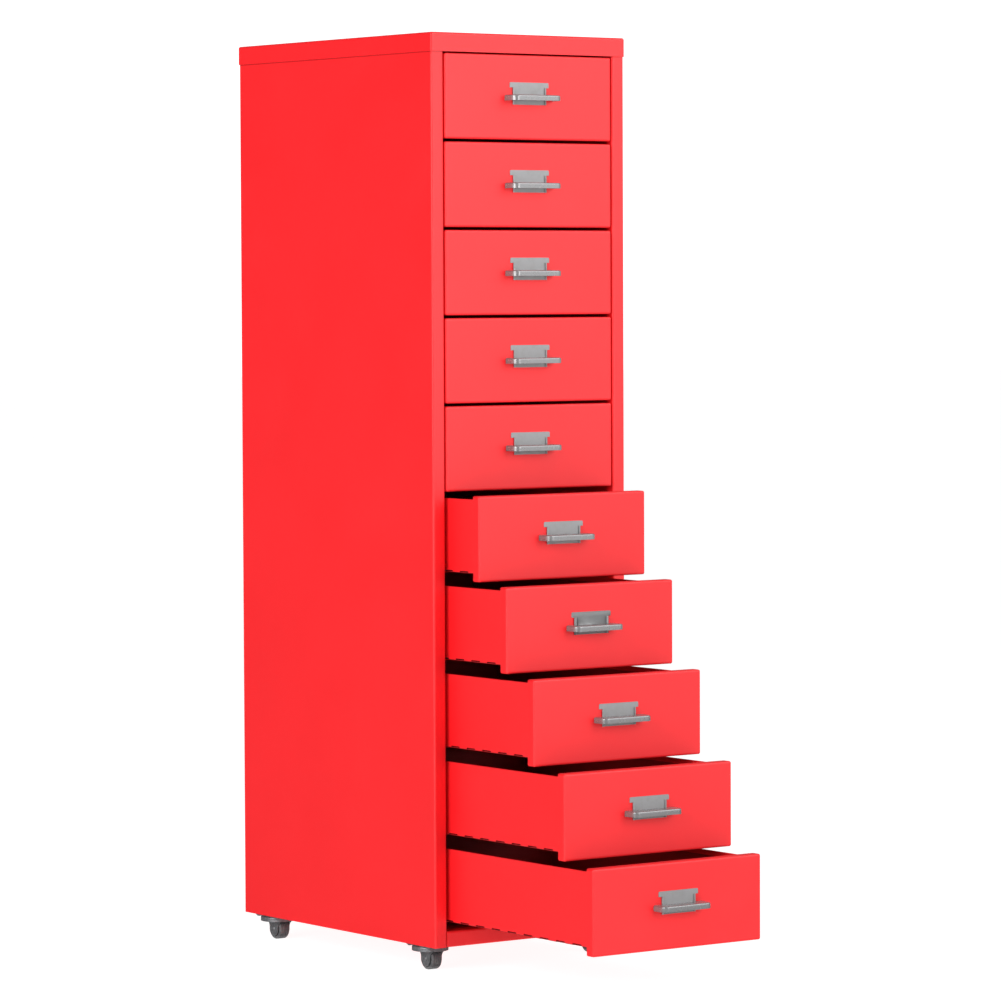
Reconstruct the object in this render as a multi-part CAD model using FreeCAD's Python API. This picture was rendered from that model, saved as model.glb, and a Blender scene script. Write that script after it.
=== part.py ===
import FreeCAD, Part
import os
from math import sqrt
from FreeCAD import Vector

# A slim sheet-steel chest of ten drawers on four small swivel casters, in millimetres.
#
# Pieces are drawn with x to the right from the middle of the chest, y going back from the plane
# of the closed drawer fronts, and z up from the floor. save() then slides every piece along y, so
# that the origin is on the floor in the middle of the area that the chest covers as it stands
# here, with its five lower drawers pulled out step by step.

# Carcass
WIDTH = 278.0             # over the side panels
DEPTH = 408.0             # closed drawer fronts to back
HEIGHT = 1090.0           # floor to top of cover
FOOT = 30.0               # floor to lower edge of side panels
SHEET = 0.8               # steel sheet of carcass and drawers
BEND = 2.5                # outer radius of a fold in the carcass
OPENING = 244.0           # between the two front stiles
STILE_RETURN = 12.0       # fold behind each stile's inner edge
BACK_FLANGE = 13.0        # fold of each side panel onto the back
COVER_LAP = 1.0           # cover's overhang on all four sides
COVER_SKIRT = 22.0        # height of the cover's folded edge
RAIL_TOP = 48.5           # top of front rail and of bottom panel
RAIL_LIP = 14.0           # folds behind the front rail
SLACK = 0.2               # gap left where two sheets only pass each other

# Drawers, counted from the top
COUNT = 10
PITCH = 102.0
OPENINGS = [0, 0, 0, 0, 0, 64.0, 117.0, 169.0, 226.0, 279.0]
TRAVEL = 300.0
FIRST_TOP = 1066.5        # top edge of the first front
FRONT_WIDTH = 240.0
FRONT_HEIGHT = 98.5
FRONT_DEPTH = 12.0
FRONT_BEND = 2.2
TRAY_WIDTH = 234.0
TRAY_HEIGHT = 85.5
TRAY_DROP = 4.0           # tray's rim below the front's top edge
TRAY_END = 398.0          # back of a closed tray
TRAY_BEND = 2.0
HEM = 6.0                 # depth of the doubled rim
SLOT_LENGTH, SLOT_SIZE, SLOT_PITCH = 17.0, 2.4, 31.0
EAR_HEIGHT, EAR_LIFT = 12.0, 0.6

# Runners: channels that a tray's lower edges and rear ears slide in
RUNNER_SHEET = 1.0
RUNNER_BEND = 1.5
RUNNER_HEIGHT = 16.0
RUNNER_SHELF = 108.0      # distance of the shelf's edge from the middle
RUNNER_START, RUNNER_END = 14.0, 403.0
RUN_GAP = 0.3             # tray's bottom above the shelf
GUIDE_GAP = 0.5           # tray's side or ear to the runner

# Pull and label holder, measured from the top edge of the front
PULL_WIDTH = 70.0
PULL_REACH = 20.0
PULL_HEIGHT = 6.6
PULL_SHEET = 1.2
PULL_CORNER = 8.0
PULL_TOP = 46.8
PULL_NOTCH = (50.0, 3.2)  # width and depth of the cut-out for the label holder
HOLDER_TOP = 32.0
HOLDER_HEIGHT = 26.0
HOLDER_WIDTH = 48.0
HOLDER_DEPTH = 2.2
HOLDER_LIP = 2.2
EARS_WIDTH, EARS_HEIGHT = 56.0, 6.0
TAB_WIDTH, TAB_REACH, TAB_GAP = 5.0, 2.6, 0.1

# Casters
CASTER_X = 117.0
CASTER_INSET = 42.0       # swivel axis from the front and from the back
TRAIL = 2.5               # wheel's axle ahead of the swivel axis
WHEEL_RADIUS = 12.5
WHEEL_WIDTH = 14.0
WHEEL_GROOVES = (-3.9, -1.3, 1.3, 3.9)
AXLE_RADIUS = 2.0
RUNNING_FIT = 0.05
LEG_SHEET = 1.5
LEG_INSIDE = 7.4
LEG_END = 8.8             # radius of the leg's round end
CROWN_RADIUS = 21.5
CROWN_FOOT, CROWN_TOP = 22.5, 28.2
CROWN_SHEET = 1.4
PLATE_X, PLATE_Y, PLATE_SHEET = 38.0, 48.0, 1.5
KINGPIN_RADIUS, KINGPIN_HEAD = 3.0, 4.6
SCREW_X, SCREW_Y, SCREW_RADIUS, SCREW_HEAD = 15.5, 19.5, 2.0, 2.6
CHANNEL_WIDTH, CHANNEL_SHEET = 49.0, 1.2

# Rivets on the back
RIVET_RADIUS, RIVET_HEAD, RIVET_RISE = 1.6, 3.2, 1.0
RIVET_COUNT = 6
RIVET_X = WIDTH / 2 - BACK_FLANGE / 2

HALF = WIDTH / 2
INSIDE = HALF - SHEET
STILE = OPENING / 2
BACK, DOWN, UP = 3, 4, 5      # open side of a pan: 2 * axis, plus 1 where it is the upper side
REACH_FORWARD = OPENINGS[-1] + PULL_REACH
REACH_BACK = DEPTH + COVER_LAP + RIVET_RISE
FRONT_Y = (REACH_FORWARD - REACH_BACK) / 2


# ---------------------------------------------------------------- shaping helpers

def block(low, high):
    """A box from its lowest corner to its highest."""
    low, high = Vector(*low), Vector(*high)
    return Part.makeBox(high.x - low.x, high.y - low.y, high.z - low.z, low)


def rod(foot, way, radius, length):
    """A round bar from foot along way."""
    return Part.makeCylinder(radius, length, Vector(*foot), Vector(*way))


def mirrored(shape):
    """The same shape for the other side of the chest."""
    return shape.mirror(Vector(0, 0, 0), Vector(1, 0, 0))


def moved(shape, x=0.0, y=0.0, z=0.0):
    """A copy of shape, shifted."""
    copy = shape.copy()
    copy.translate(Vector(x, y, z))
    return copy


def closed_face(edges):
    """The flat face inside a closed run of edges."""
    return Part.Face(Part.Wire(edges))


def folded(corners, sheet, bend, lift, run):
    """A folded sheet, drawn by the corners of its outer skin with the metal to their left.

    Every fold turns left with outer radius bend. lift puts a section point in space, and the
    section is drawn along the vector run.
    """
    points = [Vector(u, v, 0) for u, v in corners]
    ways = [(b - a).normalize() for a, b in zip(points, points[1:])]
    lefts = [Vector(-way.y, way.x, 0) for way in ways]
    skins = []
    for depth in (0.0, sheet):
        at = points[0] + lefts[0] * depth
        skin = []
        for i, corner in enumerate(points[1:-1]):
            middle = (lefts[i] + lefts[i + 1]).normalize()
            tangent = bend * sqrt(2 / (1 + ways[i].dot(ways[i + 1])) - 1)
            centre = corner - ways[i] * tangent + lefts[i] * bend
            first = centre - lefts[i] * (bend - depth)
            mid = centre - middle * (bend - depth)
            last = centre - lefts[i + 1] * (bend - depth)
            skin += [(at, first), (first, mid, last)]
            at = last
        skin.append((at, points[-1] + lefts[-1] * depth))
        skins.append(skin)
    outer, inner = skins
    pieces = outer + inner + [(outer[0][0], inner[0][0]), (outer[-1][-1], inner[-1][-1])]
    edges = []
    for piece in pieces:
        placed = [lift(p.x, p.y) for p in piece]
        curve = Part.LineSegment if len(placed) == 2 else Part.Arc
        edges.append(curve(*placed).toShape())
    ordered = Part.__sortEdges__(edges)
    return closed_face(ordered).extrude(run)


def rounded_block(low, high, radius, axis, level):
    """A box with every edge rounded, except those that lie at level on the given axis."""
    shape = block(low, high)
    edges = [edge for edge in shape.Edges
             if any(abs(corner.Point[axis] - level) > 0.001 for corner in edge.Vertexes)]
    return shape.makeFillet(radius, edges)


def pan(low, high, bend, open_side):
    """A welded sheet pan with rounded folds, open on one side."""
    axis = open_side // 2
    upper = open_side % 2 == 1
    level = high[axis] if upper else low[axis]
    inner_low = [value + SHEET for value in low]
    inner_high = [value - SHEET for value in high]
    (inner_high if upper else inner_low)[axis] = level
    outer = rounded_block(low, high, bend, axis, level)
    return outer.cut(rounded_block(inner_low, inner_high, bend - SHEET, axis, level))


# ---------------------------------------------------------------- carcass

def rivet_places():
    """Height and seat of each rivet down one edge of the back; the top one holds the cover too."""
    lowest, highest = 80.0, 980.0
    step = (highest - lowest) / (RIVET_COUNT - 1)
    places = [(lowest + step * i, DEPTH) for i in range(RIVET_COUNT)]
    return places + [(HEIGHT - COVER_SKIRT / 2, DEPTH + COVER_LAP)]


def rivet_holes():
    """Drills for both rows of rivets, through every sheet at the back."""
    depth = 6.0
    drills = [rod((side * RIVET_X, REACH_BACK - depth, z), (0, 1, 0), RIVET_RADIUS + TAB_GAP, depth)
              for z, seat in rivet_places() for side in (-1, 1)]
    return Part.makeCompound(drills)


def carcass_rivets():
    """Blind rivets that join the back panel, the side panels' flanges and the cover."""
    rivets = []
    grip = 3.4
    for z, seat in rivet_places():
        for side in (-1, 1):
            head = rod((side * RIVET_X, seat, z), (0, 1, 0), RIVET_HEAD, RIVET_RISE)
            rim = [edge for edge in head.Edges if edge.BoundBox.YMin > seat + RIVET_RISE / 2]
            head = head.makeFillet(RIVET_RISE * 0.7, rim)
            shank = rod((side * RIVET_X, seat - grip, z), (0, 1, 0), RIVET_RADIUS, grip)
            rivets.append(head.fuse(shank).removeSplitter())
    return Part.makeCompound(rivets)


def side_left():
    """Side panel, folded round the front into a stile and round the back into a flange."""
    corners = [(-HALF + BACK_FLANGE, DEPTH), (-HALF, DEPTH), (-HALF, 0), (-STILE, 0),
               (-STILE, STILE_RETURN)]
    top = HEIGHT - BEND
    panel = folded(corners, SHEET, BEND, lambda x, y: Vector(x, y, FOOT), Vector(0, 0, top - FOOT))
    return panel.cut(rivet_holes())


def back_panel():
    """Flat sheet inside the side panels' back flanges."""
    half = INSIDE - BEND + SHEET - SLACK
    seat = DEPTH - SHEET
    sheet = block((-half, seat - SHEET, FOOT + 1), (half, seat, HEIGHT - 2 * SHEET))
    return sheet.cut(rivet_holes())


def top_cover():
    """Shallow lid with rounded edges that laps over the side panels."""
    low = (-HALF - COVER_LAP, -COVER_LAP, HEIGHT - COVER_SKIRT)
    high = (HALF + COVER_LAP, DEPTH + COVER_LAP, HEIGHT)
    return pan(low, high, BEND, DOWN).cut(rivet_holes())


def bottom_panel():
    """Floor of the carcass, a pan turned upside down behind the front rail's lip."""
    skirt = 12.0
    half = INSIDE - SLACK
    low = (-half, RAIL_LIP + 0.6, RAIL_TOP - skirt)
    high = (half, DEPTH - 3.0, RAIL_TOP)
    return pan(low, high, BEND, DOWN)


def front_rail():
    """Channel between the stiles, below the last drawer."""
    half = STILE - SLACK / 2
    corners = [(RAIL_LIP, RAIL_TOP), (0, RAIL_TOP), (0, FOOT), (RAIL_LIP, FOOT)]
    return folded(corners, SHEET, BEND, lambda y, z: Vector(-half, y, z), Vector(2 * half, 0, 0))


def runner(tray_bottom):
    """Channel on the right side panel for one drawer, with the stop for the tray's ear."""
    foot = tray_bottom - RUN_GAP - RUNNER_SHEET
    lip = TRAY_WIDTH / 2 + GUIDE_GAP
    corners = [(RUNNER_SHELF, foot), (INSIDE, foot), (INSIDE, foot + RUNNER_HEIGHT),
               (lip, foot + RUNNER_HEIGHT)]
    channel = folded(corners, RUNNER_SHEET, RUNNER_BEND, lambda x, z: Vector(x, RUNNER_START, z),
                     Vector(0, RUNNER_END - RUNNER_START, 0))
    stop_end = TRAY_END - SHEET - TRAVEL - RUN_GAP
    stop = block((lip + 6, stop_end - 2, foot + RUNNER_SHEET / 2),
                 (lip + 14, stop_end, foot + RUNNER_HEIGHT - RUNNER_SHEET / 2))
    return channel.fuse(stop).removeSplitter()


def runners_right():
    """The ten runners of the right side."""
    return Part.makeCompound([runner(tray_bottom(number)) for number in range(COUNT)])


def caster_channels():
    """Two cross channels under the bottom panel that carry the casters."""
    half = INSIDE - SLACK - BEND
    top = RAIL_TOP - SHEET
    channels = []
    for centre in caster_rows():
        front, back = centre - CHANNEL_WIDTH / 2, centre + CHANNEL_WIDTH / 2
        corners = [(front, top), (front, FOOT), (back, FOOT), (back, top)]
        channel = folded(corners, CHANNEL_SHEET, BEND, lambda y, z: Vector(-half, y, z),
                         Vector(2 * half, 0, 0))
        channels.append(channel.cut(screw_drills()))
    return Part.makeCompound(channels)


# ---------------------------------------------------------------- casters

def caster_rows():
    """Distance of the front and the rear swivel axes from the front."""
    return (CASTER_INSET, DEPTH - CASTER_INSET)


def caster_places():
    """Name and swivel axis of each caster."""
    for row, y in zip(("front", "rear"), caster_rows()):
        for side, x in (("left", -CASTER_X), ("right", CASTER_X)):
            yield f"caster_{row}_{side}", x, y


def screw_places():
    """Axes of the sixteen caster screws."""
    return [(x + i * SCREW_X, y + j * SCREW_Y)
            for name, x, y in caster_places() for i in (-1, 1) for j in (-1, 1)]


def screw_drills():
    """Drills for the caster screws."""
    return Part.makeCompound([rod((x, y, FOOT - 5), (0, 0, 1), SCREW_RADIUS + TAB_GAP, 10)
                              for x, y in screw_places()])


def caster_screws():
    """Pan-head screws from below, through the caster plates into the cross channels."""
    seat = FOOT - PLATE_SHEET
    rise, length = 1.6, 8.0
    screws = []
    for x, y in screw_places():
        head = rod((x, y, seat - rise), (0, 0, 1), SCREW_HEAD, rise)
        rim = [edge for edge in head.Edges if edge.BoundBox.ZMax < seat - rise / 2]
        head = head.makeFillet(0.8, rim)
        screws.append(head.fuse(rod((x, y, seat), (0, 0, 1), SCREW_RADIUS, length)))
    return Part.makeCompound([screw.removeSplitter() for screw in screws])


def caster_top_plates():
    """Screwed plates of the four casters, each with the kingpin riveted into it."""
    seat = FOOT - PLATE_SHEET
    head_rise = 1.1
    head_foot = CROWN_TOP - CROWN_SHEET - RUN_GAP - head_rise
    plates = []
    for name, x, y in caster_places():
        plate = block((x - PLATE_X / 2, y - PLATE_Y / 2, seat), (x + PLATE_X / 2, y + PLATE_Y / 2, FOOT))
        upright = [edge for edge in plate.Edges if edge.BoundBox.ZLength > PLATE_SHEET / 2]
        plate = plate.makeFillet(4.0, upright).cut(screw_drills())
        pin = rod((x, y, head_foot), (0, 0, 1), KINGPIN_RADIUS, FOOT - head_foot)
        head = rod((x, y, head_foot), (0, 0, 1), KINGPIN_HEAD, head_rise)
        plates.append(plate.fuse(pin).fuse(head).removeSplitter())
    return Part.makeCompound(plates)


def leg_outline():
    """Side view of a fork's leg: it flares into the crown and ends round the axle."""
    wide = sqrt(CROWN_RADIUS ** 2 - (LEG_INSIDE + LEG_SHEET) ** 2) - 0.2
    top = CROWN_TOP - CROWN_SHEET / 2
    flare = wide - TRAIL - LEG_END
    knee = CROWN_FOOT - flare
    left, right = -TRAIL - LEG_END, -TRAIL + LEG_END

    def at(y, z):
        return Vector(LEG_INSIDE, y, z)

    def bulge(y, side):
        """Middle of the concave quarter circle that ends at y."""
        return at(y + side * flare * (1 - sqrt(0.5)), CROWN_FOOT - flare * (1 - sqrt(0.5)))

    line, arc = Part.LineSegment, Part.Arc
    edges = [
        line(at(-wide, top), at(-wide, CROWN_FOOT)),
        arc(at(left - flare, CROWN_FOOT), bulge(left, -1), at(left, knee)),
        line(at(left, knee), at(left, WHEEL_RADIUS)),
        arc(at(left, WHEEL_RADIUS), at(-TRAIL, WHEEL_RADIUS - LEG_END), at(right, WHEEL_RADIUS)),
        line(at(right, WHEEL_RADIUS), at(right, knee)),
        arc(at(right, knee), bulge(right, 1), at(right + flare, CROWN_FOOT)),
        line(at(right + flare, CROWN_FOOT), at(wide, CROWN_FOOT)),
        line(at(wide, CROWN_FOOT), at(wide, top)),
        line(at(wide, top), at(-wide, top)),
    ]
    return closed_face([edge.toShape() for edge in edges])


def caster_fork():
    """Fork with its round crown, and the riveted axle, about a swivel axis at the origin."""
    crown = rod((0, 0, CROWN_FOOT), (0, 0, 1), CROWN_RADIUS, CROWN_TOP - CROWN_FOOT)
    rim = [edge for edge in crown.Edges if edge.BoundBox.ZMin > CROWN_TOP - 0.1]
    crown = crown.makeFillet(CROWN_SHEET, rim)
    hollow_top = CROWN_TOP - CROWN_SHEET
    hollow = rod((0, 0, CROWN_FOOT), (0, 0, 1), CROWN_RADIUS - CROWN_SHEET, hollow_top - CROWN_FOOT)
    leg = leg_outline().extrude(Vector(LEG_SHEET, 0, 0))
    fork = crown.cut(hollow).fuse(leg).fuse(mirrored(leg))
    fork = fork.cut(rod((0, 0, CROWN_FOOT), (0, 0, 1), KINGPIN_RADIUS + RUNNING_FIT, 10))
    outside = LEG_INSIDE + LEG_SHEET
    head_rise, head_radius = 1.2, 3.4
    bore = rod((-outside - 1, -TRAIL, WHEEL_RADIUS), (1, 0, 0), AXLE_RADIUS + RUNNING_FIT / 2,
               2 * outside + 2)
    axle = rod((-outside, -TRAIL, WHEEL_RADIUS), (1, 0, 0), AXLE_RADIUS, 2 * outside)
    for start in (-outside - head_rise, outside):
        axle = axle.fuse(rod((start, -TRAIL, WHEEL_RADIUS), (1, 0, 0), head_radius, head_rise))
    return Part.makeCompound([fork.cut(bore).removeSplitter(), axle.removeSplitter()])


def caster_wheel():
    """Moulded wheel with a grooved tread and a dished side, on its axle behind the swivel axis."""
    half = WHEEL_WIDTH / 2

    def disc(start, length, radius):
        return rod((start, -TRAIL, WHEEL_RADIUS), (1, 0, 0), radius, length)

    def ring(start, length, outer, inner):
        return disc(start, length, outer).cut(disc(start, length, inner))

    wheel = disc(-half, WHEEL_WIDTH, WHEEL_RADIUS)
    rims = [edge for edge in wheel.Edges if edge.BoundBox.XLength < 0.1]
    wheel = wheel.makeFillet(2.0, rims)
    wheel = wheel.cut(disc(-half, WHEEL_WIDTH, AXLE_RADIUS + RUNNING_FIT))
    groove_width, groove_depth = 0.9, 0.5
    dish_depth, dish_outer, dish_inner = 1.4, 9.4, 4.4
    for x in WHEEL_GROOVES:
        wheel = wheel.cut(ring(x - groove_width / 2, groove_width, WHEEL_RADIUS + 1,
                               WHEEL_RADIUS - groove_depth))
    for start in (-half, half - dish_depth):
        wheel = wheel.cut(ring(start, dish_depth, dish_outer, dish_inner))
    return wheel


# ---------------------------------------------------------------- drawers

def tray_bottom(number):
    """Height of a tray's underside, number counted from 0 at the top."""
    return FIRST_TOP - PITCH * number - TRAY_DROP - TRAY_HEIGHT


def tab_slots():
    """Slots in the front for the tabs of the pull and of the label holder."""
    slots = []
    for x, z in tab_places():
        slots.append(block((x - TAB_WIDTH / 2 - TAB_GAP, -1, z - TAB_GAP),
                           (x + TAB_WIDTH / 2 + TAB_GAP, TAB_REACH, z + SHEET + TAB_GAP)))
    return Part.makeCompound(slots)


def tab_places():
    """Middle and lower edge of each tab: two on the pull, then two on the label holder's ears."""
    pull_x = (PULL_NOTCH[0] + PULL_WIDTH) / 4
    holder_x = EARS_WIDTH / 2 - TAB_WIDTH / 2
    pull_z = -PULL_TOP - PULL_SHEET
    holder_z = -HOLDER_TOP - EARS_HEIGHT / 2
    return [(-pull_x, pull_z), (pull_x, pull_z), (-holder_x, holder_z), (holder_x, holder_z)]


def tabs(places):
    """Tabs that reach through the front."""
    return [block((x - TAB_WIDTH / 2, -SHEET / 2, z), (x + TAB_WIDTH / 2, TAB_REACH, z + SHEET))
            for x, z in places]


def drawer_front():
    """Folded front pan, with its top edge at z = 0."""
    low = (-FRONT_WIDTH / 2, 0, -FRONT_HEIGHT)
    high = (FRONT_WIDTH / 2, FRONT_DEPTH, 0)
    return pan(low, high, FRONT_BEND, BACK).cut(tab_slots())


def drawer_tray():
    """Folded tray behind the front: doubled rims, slotted bend lines and two rear ears."""
    half = TRAY_WIDTH / 2
    top = -TRAY_DROP
    foot = top - TRAY_HEIGHT
    tray = pan((-half, FRONT_DEPTH, foot), (half, TRAY_END, top), TRAY_BEND, UP)
    length = TRAY_END - FRONT_DEPTH
    count = int((length - SLOT_LENGTH) // SLOT_PITCH) + 1
    margin = (length - (count - 1) * SLOT_PITCH - SLOT_LENGTH) / 2
    for side in (-1, 1):
        wall = side * (half - SHEET)
        hem = sorted((wall, wall - side * SHEET))
        tray = tray.fuse(block((hem[0], FRONT_DEPTH + TRAY_BEND, top - HEM),
                               (hem[1], TRAY_END - TRAY_BEND, top)))
        ear = sorted((side * (half - TRAY_BEND), side * (INSIDE - RUNNER_SHEET - GUIDE_GAP)))
        tray = tray.fuse(block((ear[0], TRAY_END - SHEET, foot + EAR_LIFT + TRAY_BEND),
                               (ear[1], TRAY_END, foot + EAR_LIFT + EAR_HEIGHT)))
    tray = tray.removeSplitter()
    slots = []
    for side in (-1, 1):
        edge = sorted((side * (half - SLOT_SIZE), side * (half + 1)))
        for number in range(count):
            start = FRONT_DEPTH + margin + number * SLOT_PITCH
            slots.append(block((edge[0], start, foot - 1), (edge[1], start + SLOT_LENGTH,
                                                            foot + SLOT_SIZE)))
    return tray.cut(Part.makeCompound(slots))


def pull_plan(width, reach, corner):
    """Plan outline of the pull: a rounded D standing on the front's face."""
    half = width / 2
    inset = corner * (1 - sqrt(0.5))
    line, arc = Part.LineSegment, Part.Arc
    left, right = Vector(-half, 0, 0), Vector(half, 0, 0)
    turn_left, turn_right = Vector(-half, corner - reach, 0), Vector(half, corner - reach, 0)
    front_left, front_right = Vector(corner - half, -reach, 0), Vector(half - corner, -reach, 0)
    edges = [
        line(left, turn_left),
        arc(turn_left, Vector(inset - half, inset - reach, 0), front_left),
        line(front_left, front_right),
        arc(front_right, Vector(half - inset, inset - reach, 0), turn_right),
        line(turn_right, right),
        line(right, left),
    ]
    return closed_face([edge.toShape() for edge in edges])


def drawer_pull():
    """Stamped tongue with a turned-down rim that fingers hook behind."""
    body = moved(pull_plan(PULL_WIDTH, PULL_REACH, PULL_CORNER), z=-PULL_TOP - PULL_HEIGHT)
    body = body.extrude(Vector(0, 0, PULL_HEIGHT))
    rim = [edge for edge in body.Edges
           if edge.BoundBox.ZMin > -PULL_TOP - 0.1 and edge.BoundBox.YMin < -1]
    body = body.makeFillet(PULL_SHEET, rim)
    hollow = pull_plan(PULL_WIDTH - 2 * PULL_SHEET, PULL_REACH - PULL_SHEET, PULL_CORNER - PULL_SHEET)
    hollow = moved(hollow, z=-PULL_TOP - PULL_HEIGHT)
    body = body.cut(hollow.extrude(Vector(0, 0, PULL_HEIGHT - PULL_SHEET)))
    notch, depth = PULL_NOTCH
    body = body.cut(block((-notch / 2, -depth, -PULL_TOP - PULL_HEIGHT), (notch / 2, 1, -PULL_TOP)))
    for tab in tabs(tab_places()[:2]):
        body = body.fuse(tab)
    return body.removeSplitter()


def drawer_label_holder():
    """Plate on the front with two ears and two folded channels that hold a card."""
    top, foot = -HOLDER_TOP, -HOLDER_TOP - HOLDER_HEIGHT
    half = HOLDER_WIDTH / 2
    shoulder = top - EARS_HEIGHT
    corners = [(half, -HOLDER_DEPTH), (half, 0), (-half, 0), (-half, -HOLDER_DEPTH)]
    inward = half - HOLDER_LIP
    corners = [(inward, -HOLDER_DEPTH)] + corners + [(-inward, -HOLDER_DEPTH)]
    bend = SHEET + 0.2
    card_channel = folded(corners, SHEET, bend, lambda x, y: Vector(x, y, foot),
                          Vector(0, 0, shoulder - foot))
    ears = block((-EARS_WIDTH / 2, -SHEET, shoulder), (EARS_WIDTH / 2, 0, top))
    upright = [edge for edge in ears.Edges if edge.BoundBox.YLength > SHEET / 2]
    ears = ears.makeFillet(1.5, upright)
    shelf = block((-half + bend, -HOLDER_DEPTH + SHEET + SLACK, foot),
                  (half - bend, -SHEET / 2, foot + SHEET))
    holder = card_channel.fuse(ears).fuse(shelf)
    for tab in tabs(tab_places()[2:]):
        holder = holder.fuse(tab)
    return holder.removeSplitter()


# ---------------------------------------------------------------- writing the pieces

def save(name, shape):
    """Write one piece in the part's own frame."""
    if not shape.isValid():
        raise ValueError(f"{name} is not a valid solid")
    placed = moved(shape, y=FRONT_Y)
    placed.exportStep(f"parts/{name}.step")
    print(f"{name}: {len(placed.Solids)} solid, {placed.Volume / 1000:.1f} cm3")


def main():
    os.makedirs("parts", exist_ok=True)
    side = side_left()
    runners = runners_right()
    save("side_left", side)
    save("side_right", mirrored(side))
    save("back_panel", back_panel())
    save("top_cover", top_cover())
    save("bottom_panel", bottom_panel())
    save("front_rail", front_rail())
    save("runners_right", runners)
    save("runners_left", mirrored(runners))
    save("caster_channels", caster_channels())
    save("caster_top_plates", caster_top_plates())
    save("caster_screws", caster_screws())
    save("carcass_rivets", carcass_rivets())
    fork, wheel = caster_fork(), caster_wheel()
    for name, x, y in caster_places():
        save(f"{name}_fork", moved(fork, x, y))
        save(f"{name}_wheel", moved(wheel, x, y))
    pieces = {"tray": drawer_tray(), "front": drawer_front(), "pull": drawer_pull(),
              "label_holder": drawer_label_holder()}
    for number, opening in enumerate(OPENINGS):
        for piece, shape in pieces.items():
            save(f"drawer_{number + 1:02d}_{piece}",
                 moved(shape, y=-opening, z=FIRST_TOP - PITCH * number))


main()
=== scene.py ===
# %% [markdown]
# # A sheet-steel chest of ten drawers
# The chest is folded from thin steel, sprayed red and rolls on four small casters. Its CAD model
# already holds every size, place and joint. This lesson dresses that model: each visible piece is
# drawn again as a clean surface with its folds, hems and slots, and every finish is built from
# nodes. The first cell loads the CAD pieces and gives a helper that reads each piece's outer box.

# %% Load the CAD model
import bmesh
import bpy
import numpy as np
from mathutils import Matrix, Vector


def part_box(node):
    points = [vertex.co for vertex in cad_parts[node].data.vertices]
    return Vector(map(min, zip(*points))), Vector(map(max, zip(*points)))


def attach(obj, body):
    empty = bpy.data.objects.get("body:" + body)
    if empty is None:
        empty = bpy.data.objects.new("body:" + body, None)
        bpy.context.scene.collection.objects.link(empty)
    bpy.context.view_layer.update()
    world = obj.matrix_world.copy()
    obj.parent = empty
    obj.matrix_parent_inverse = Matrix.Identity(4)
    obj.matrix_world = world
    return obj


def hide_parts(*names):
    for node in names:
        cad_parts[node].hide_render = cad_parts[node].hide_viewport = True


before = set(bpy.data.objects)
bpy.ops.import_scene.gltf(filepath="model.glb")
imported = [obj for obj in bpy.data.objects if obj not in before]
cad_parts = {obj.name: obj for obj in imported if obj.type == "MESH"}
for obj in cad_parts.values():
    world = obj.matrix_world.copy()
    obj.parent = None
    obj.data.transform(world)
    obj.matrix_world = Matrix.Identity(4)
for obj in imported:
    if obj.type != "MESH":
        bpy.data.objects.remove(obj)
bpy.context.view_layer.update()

MM = 0.001

# %% [markdown]
# ## Sizes that the folds share
# Lengths come from the CAD pieces themselves, so a change there carries over. Only the sizes that
# a box can't tell, such as the sheet's thickness and the radius of a fold, are named here.

# %% Sizes
SHEET = 0.8 * MM
FOLD = 2.5 * MM
FRONT_FOLD = 2.2 * MM
TRAY_FOLD = 2.0 * MM
TRAY_HALF = 117.0 * MM
CUT_EDGE = 0.12 * MM
PLATED_EDGE = 0.15 * MM
LEG_EDGE = 0.25 * MM
DRAWERS = [f"drawer_{number:02d}" for number in range(1, 11)]
CASTERS = [f"{row}_{side}" for row in ("front", "rear") for side in ("left", "right")]


def node_box(node):
    """Lowest and highest corner of a CAD piece as two arrays."""
    low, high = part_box(node)
    return np.array(low), np.array(high)


side_low, side_high = node_box("side_left")
cover_low, cover_high = node_box("top_cover")
print("body", np.round(cover_high - cover_low, 4), "m")

# %% [markdown]
# ## From arrays to a mesh
# A folded sheet is easiest to think of as a profile carried along a path: one index walks along
# the path, the other along the profile, and every crossing is a point of a grid. Whole arrays are
# worked out at once and joined into quads by index arithmetic. Flat areas are closed by one
# many-sided face. Thickness is added last, by a Solidify modifier, as a press brake never changes
# the gauge of the sheet, and a narrow Bevel breaks the cut edges so that they catch the light.

# %% Mesh helpers
def grid_faces(along, across, closed, first=0, keep=None):
    """Quads between neighbouring points of a grid numbered row by row, from the number first.

    Point (i, j) has the number first + i * across + j. A closed grid joins its last row to row 0.
    keep is a mask of the cells that exist, so a hole is a cell left out.
    """
    rows = along if closed else along - 1
    i, j = np.meshgrid(np.arange(rows), np.arange(across - 1), indexing="ij")
    if keep is not None:
        i, j = i[keep], j[keep]
    i, j = i.ravel(), j.ravel()
    after = (i + 1) % along
    corners = [i * across + j, after * across + j, after * across + j + 1, i * across + j + 1]
    return (np.stack(corners, axis=1) + first).tolist()


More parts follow.
